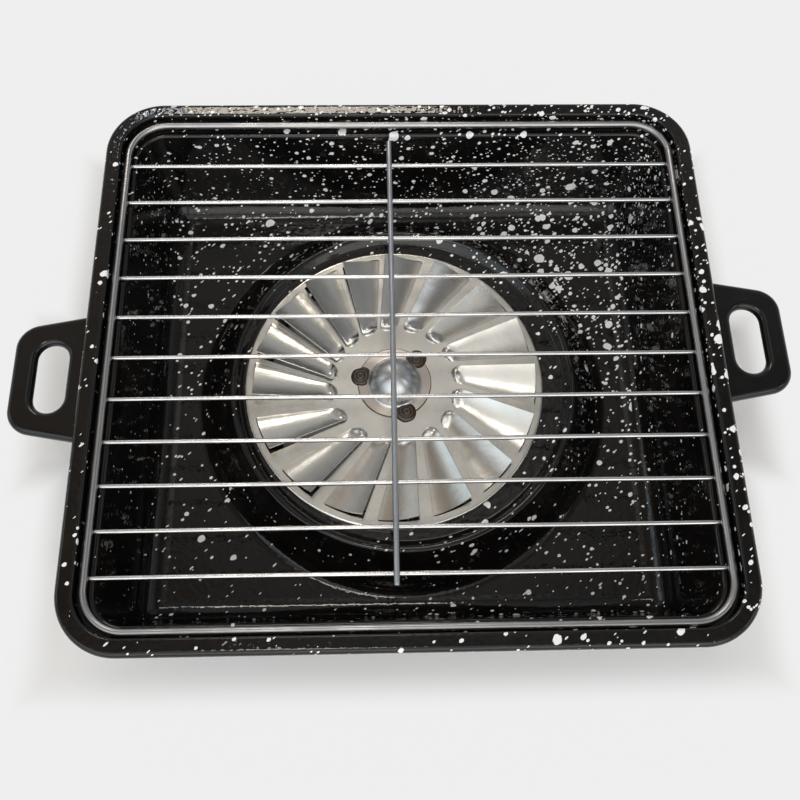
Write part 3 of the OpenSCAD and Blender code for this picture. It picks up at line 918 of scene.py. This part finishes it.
def make_floor():
    """A pale floor: its own light evens it out away from the pan, and the shadow stays beside it."""
    half = 12.0
    mesh = bpy.data.meshes.new("floor")
    corners = [(-half, -half, 0), (half, -half, 0), (half, half, 0), (-half, half, 0)]
    mesh.from_pydata(corners, [], [(0, 1, 2, 3)])
    floor = bpy.data.objects.new("floor", mesh)
    bpy.context.scene.collection.objects.link(floor)
    s = Shader("pale_floor")
    s.set(Base_Color=FLOOR_COLOUR, Roughness=0.9, Specular_IOR_Level=0.1)
    place = s.node("ShaderNodeSeparateXYZ", {"Vector": s.vector("ABSOLUTE", s.coords)})

    def outside(half_x, half_y):
        out_x = s.maths("SUBTRACT", place.outputs["X"], half_x * MM)
        return s.maths("MAXIMUM", out_x, s.maths("SUBTRACT", place.outputs["Y"], half_y * MM))

    pan_gap = outside(PAN_HALF_W + SIDE_SHADOW, PAN_HALF_L)
    handle_gap = outside(HANDLE_TIP_X, HANDLE_ROOT_W / 2)
    gap = s.maths("MINIMUM", pan_gap, handle_gap)
    away = s.remap(gap, EVEN_FROM, EVEN_FULL, 0.0, EVEN_SHARE, smooth_step=True)
    path = s.node("ShaderNodeLightPath").outputs
    seen = s.maths("MAXIMUM", path["Is Camera Ray"], s.maths("MAXIMUM", path["Is Glossy Ray"], path["Is Transmission Ray"]))
    glow = s.node("ShaderNodeEmission", {"Color": FLOOR_COLOUR, "Strength": 1.0})
    both = s.node("ShaderNodeMixShader", {0: s.maths("MULTIPLY", away, seen)})
    s.put(both.inputs[1], s.surface.outputs[0])
    s.put(both.inputs[2], glow.outputs[0])
    s.put(s.tree.nodes["Material Output"].inputs["Surface"], both.outputs[0])
    mesh.materials.append(s.material)


def direction(azimuth, elevation):
    """A direction from the pan's middle: azimuth 0 is to the back, 90 to the right."""
    a, e = math.radians(azimuth), math.radians(elevation)
    return Vector((math.sin(a) * math.cos(e), math.cos(a) * math.cos(e), math.sin(e)))


def soft_box(name, azimuth, elevation, width, height, radiance, colour):
    """A lamp that fills width by height degrees as seen from the pan."""
    away = direction(azimuth, elevation) * LAMP_DISTANCE
    lamp = bpy.data.lights.new(name, "AREA")
    lamp.shape = "RECTANGLE"
    lamp.size = 2 * LAMP_DISTANCE * math.tan(math.radians(width / 2))
    lamp.size_y = 2 * LAMP_DISTANCE * math.tan(math.radians(height / 2))
    lamp.energy = radiance * math.pi * lamp.size * lamp.size_y
    lamp.color = colour
    light = bpy.data.objects.new(name, lamp)
    light.location = away + Vector((0, 0, 0.03))
    light.rotation_euler = (-away).to_track_quat("-Z", "Y").to_euler()
    bpy.context.scene.collection.objects.link(light)


# Soft lights in the sky: azimuth, elevation, where they start to fade, where they end, colour
SKY_LIGHTS = [
    (4, 70, 13, 20, (0.36, 0.35, 0.325, 1)),
    (4, 70, 4, 11.5, (0.76, 0.74, 0.7, 1)),
    (-170, 66, 14, 26, (1.05, 1.03, 1.0, 1)),
    (-152, 34, 11, 24, (2.0, 2.02, 2.02, 1)),
    (180, 34, 11, 24, (2.15, 2.12, 2.06, 1)),
    (152, 34, 11, 24, (2.15, 2.12, 2.06, 1)),
    (125, 57, 6, 16, (0.58, 0.58, 0.56, 1)),
    (-128, 42, 10, 22, (1.35, 1.5, 1.6, 1)),
    (-80, 34, 4, 12, (1.3, 1.5, 1.65, 1)),
    (103, 42, 4, 10, (2.0, 2.1, 2.2, 1)),
]


def make_sky():
    """Soft, uneven surroundings, darker and warmer above, with soft lights in them."""
    world = bpy.data.worlds.new("studio")
    s = Shader.of_world(world)
    way = s.node("ShaderNodeSeparateXYZ", {"Vector": s.coords})
    x, height = way.outputs["X"], way.outputs["Z"]
    middle = s.blend(s.remap(x, -0.6, 0.6), (0.42, 0.41, 0.395, 1), (0.39, 0.41, 0.425, 1))
    high = s.blend(s.remap(x, -0.4, 0.4), (0.28, 0.22, 0.17, 1), (0.19, 0.18, 0.17, 1))
    sky = s.blend(s.remap(height, 0.6, 0.86, smooth_step=True), middle, high)
    rooms = s.remap(s.noise(2.4, 2.0).outputs["Fac"], 0.38, 0.62, 0.55, 1.4)
    sky = s.vector("MULTIPLY", sky, s.node("ShaderNodeCombineXYZ", {"X": rooms, "Y": rooms, "Z": rooms}).outputs[0])
    for azimuth, elevation, full, gone, colour in SKY_LIGHTS:
        near = s.node("ShaderNodeVectorMath", {0: s.coords, 1: direction(azimuth, elevation)}, operation="DOT_PRODUCT")
        near = s.remap(near.outputs["Value"], math.cos(math.radians(gone)), math.cos(math.radians(full)), smooth_step=True)
        sky = s.blend(near, sky, colour)
    sky = s.blend(s.remap(height, 0.12, 0.3, smooth_step=True), (0.8, 0.8, 0.8, 1), sky)
    path = s.node("ShaderNodeLightPath").outputs
    s.set(Color=s.blend(path["Is Camera Ray"], sky, FLOOR_COLOUR))
    bpy.context.scene.world = world


def make_light():
    soft_box("back", -6.9, 47.6, 18.6, 5.4, 12, (1.0, 0.9, 0.78))
    soft_box("ceiling", -140, 81, 13, 7, 8, (1.0, 0.95, 0.88))
    soft_box("corner", -23.5, 47.8, 2.0, 2.2, 15, (0.75, 0.88, 1.0))


# The photograph's camera: its centre's place in a frame turned by the yaw, from the rim's middle
FOCAL_PX, PHOTO_PX, CENTRE_PX = 877.2, 800.0, 403.0
ELEVATION, YAW, ROLL = math.radians(69.16), math.radians(4.04), math.radians(-3.09)
SIDE_MM, RISE_MM, DISTANCE_MM, RIM_PLANE_MM = -1.3, -28.4, 438.7, 67.8
SENSOR_MM = 36.0


def make_camera():
    right = Vector((1, 0, 0))
    up = Vector((0, math.sin(ELEVATION), math.cos(ELEVATION)))
    back = Vector((0, -math.cos(ELEVATION), math.sin(ELEVATION)))
    unturn = Matrix.Rotation(-YAW, 3, "Z")
    centre = unturn @ (right * SIDE_MM + up * RISE_MM + back * DISTANCE_MM)
    centre += Vector((0, 0, RIM_PLANE_MM))
    axes = [
        unturn @ (right * math.cos(ROLL) - up * math.sin(ROLL)),
        unturn @ (right * math.sin(ROLL) + up * math.cos(ROLL)),
        unturn @ back,
    ]
    camera = bpy.data.objects.new("camera", bpy.data.cameras.new("camera"))
    camera.matrix_world = Matrix.Translation(centre * MM) @ Matrix(axes).transposed().to_4x4()
    camera.data.sensor_width = SENSOR_MM
    camera.data.lens = FOCAL_PX * SENSOR_MM / PHOTO_PX
    camera.data.shift_y = (CENTRE_PX - PHOTO_PX / 2) / PHOTO_PX
    camera.data.clip_start = 0.02
    bpy.context.scene.collection.objects.link(camera)
    bpy.context.scene.camera = camera


make_camera()
make_floor()
make_sky()
make_light()

make_pan(enamel_material())
plain = handle_material()
for side_name in HANDLE_Y:
    make_handle(side_name, plain)
for weld_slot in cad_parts["handle_spot_welds"].material_slots:
    weld_slot.material = plain
bright = wire_material("bright_wire", (0.7, 0.7, 0.71, 1), 0.24)
make_frame_wire(wire_material("frame_wire", (0.44, 0.44, 0.45, 1), 0.3))
for wire in range(CROSS_WIRES):
    make_cross_wire(wire, bright)
make_rack_welds(bright)
make_rod(wire_material("dull_wire", (0.5, 0.53, 0.57, 1), 0.38))
make_disc(disc_material())
make_dome(dome_material())
make_tacks(oxide_material())

bpy.context.scene.view_settings.view_transform = "Standard"

bpy.context.view_layer.update()
